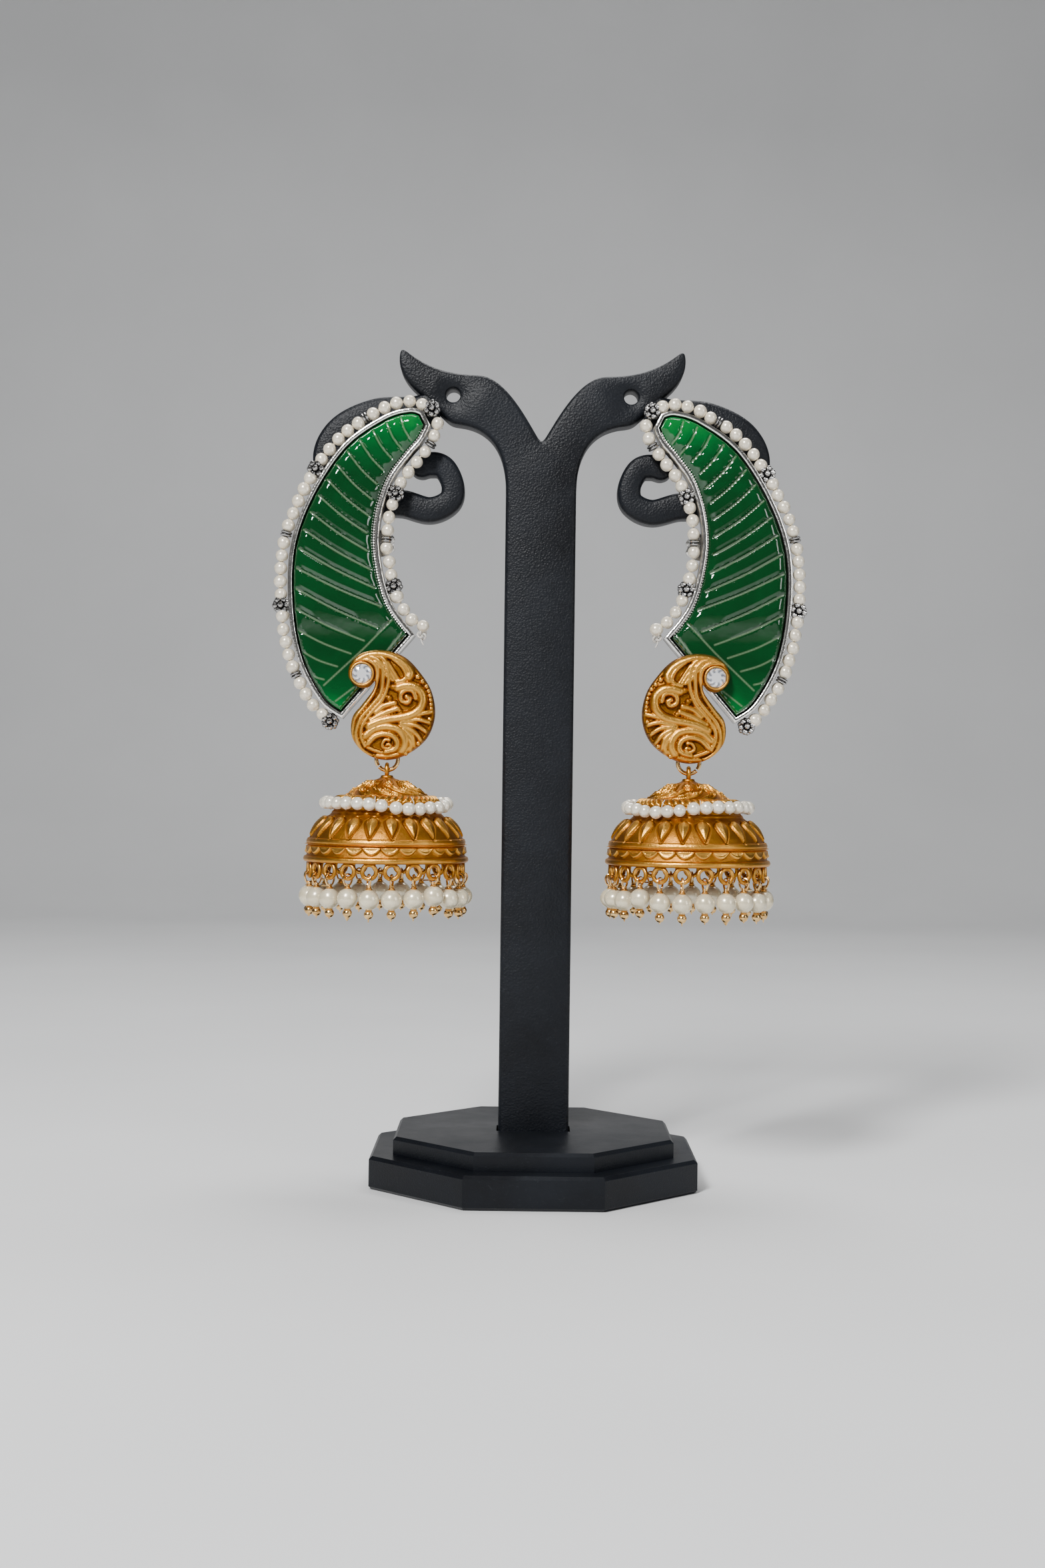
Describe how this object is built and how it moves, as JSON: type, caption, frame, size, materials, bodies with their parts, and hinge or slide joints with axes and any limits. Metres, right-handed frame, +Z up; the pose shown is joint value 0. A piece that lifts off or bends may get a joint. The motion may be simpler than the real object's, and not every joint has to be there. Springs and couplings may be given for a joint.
{
  "type": "jhumka earring pair on display stand",
  "caption": "Pair of jhumka earrings, each a carved green crescent edged with pearls, a gold paisley and a hollow gold bell with pearl drops, hung on a plain black stand with scrolled arms.",
  "frame": {"origin": "middle of the underside of the stand's base", "axes": "+Z up; +X to the right seen from the front, the stand's two sides mirror each other across X; the front faces -Y"},
  "size_m": [0.0986, 0.06, 0.156],
  "materials": {
    "stand_plastic": "black with a fine grain",
    "silver": "oxidised silver",
    "green_stone": "carved and polished",
    "pearl": "pearly",
    "gold": "matte antique gold"
  },
  "bodies": {
    "stand": {"stand_base": "stand_plastic", "stand_arms": "stand_plastic", "left_frame": "silver", "left_stone": "green_stone", "left_pearl_string": "pearl", "left_paisley": "gold", "right_frame": "silver", "right_stone": "green_stone", "right_pearl_string": "pearl", "right_paisley": "gold"},
    "left_link": {"left_link_ring": "gold"},
    "left_bell": {"left_bell": "gold", "left_bell_pearls": "pearl", "left_drop_01": "pearl", "left_drop_02": "pearl", "left_drop_03": "pearl", "left_drop_04": "pearl", "left_drop_05": "pearl", "left_drop_06": "pearl", "left_drop_07": "pearl", "left_drop_08": "pearl", "left_drop_09": "pearl", "left_drop_10": "pearl", "left_drop_11": "pearl", "left_drop_12": "pearl", "left_drop_13": "pearl", "left_drop_14": "pearl", "left_drop_15": "pearl", "left_drop_16": "pearl", "left_drop_17": "pearl", "left_drop_18": "pearl", "left_drop_19": "pearl", "left_drop_20": "pearl", "left_drop_21": "pearl", "left_drop_22": "pearl"},
    "right_link": {"right_link_ring": "gold"},
    "right_bell": {"right_bell": "gold", "right_bell_pearls": "pearl", "right_drop_01": "pearl", "right_drop_02": "pearl", "right_drop_03": "pearl", "right_drop_04": "pearl", "right_drop_05": "pearl", "right_drop_06": "pearl", "right_drop_07": "pearl", "right_drop_08": "pearl", "right_drop_09": "pearl", "right_drop_10": "pearl", "right_drop_11": "pearl", "right_drop_12": "pearl", "right_drop_13": "pearl", "right_drop_14": "pearl", "right_drop_15": "pearl", "right_drop_16": "pearl", "right_drop_17": "pearl", "right_drop_18": "pearl", "right_drop_19": "pearl", "right_drop_20": "pearl", "right_drop_21": "pearl", "right_drop_22": "pearl"}
  },
  "joints": [
    {"name": "left_link_swing", "type": "hinge", "parent": "stand", "child": "left_link", "pos_m": [-0.02794, -0.00635, 0.08055], "axis": [1, 0, 0], "range_deg": [-10, 30]},
    {"name": "left_bell_sway", "type": "hinge", "parent": "left_link", "child": "left_bell", "pos_m": [-0.02794, -0.00635, 0.07855], "axis": [0, 1, 0], "range_deg": [-10, 25]},
    {"name": "right_link_swing", "type": "hinge", "parent": "stand", "child": "right_link", "pos_m": [0.02794, -0.00635, 0.08055], "axis": [1, 0, 0], "range_deg": [-10, 30]},
    {"name": "right_bell_sway", "type": "hinge", "parent": "right_link", "child": "right_bell", "pos_m": [0.02794, -0.00635, 0.07855], "axis": [0, -1, 0], "range_deg": [-10, 25]}
  ]
}
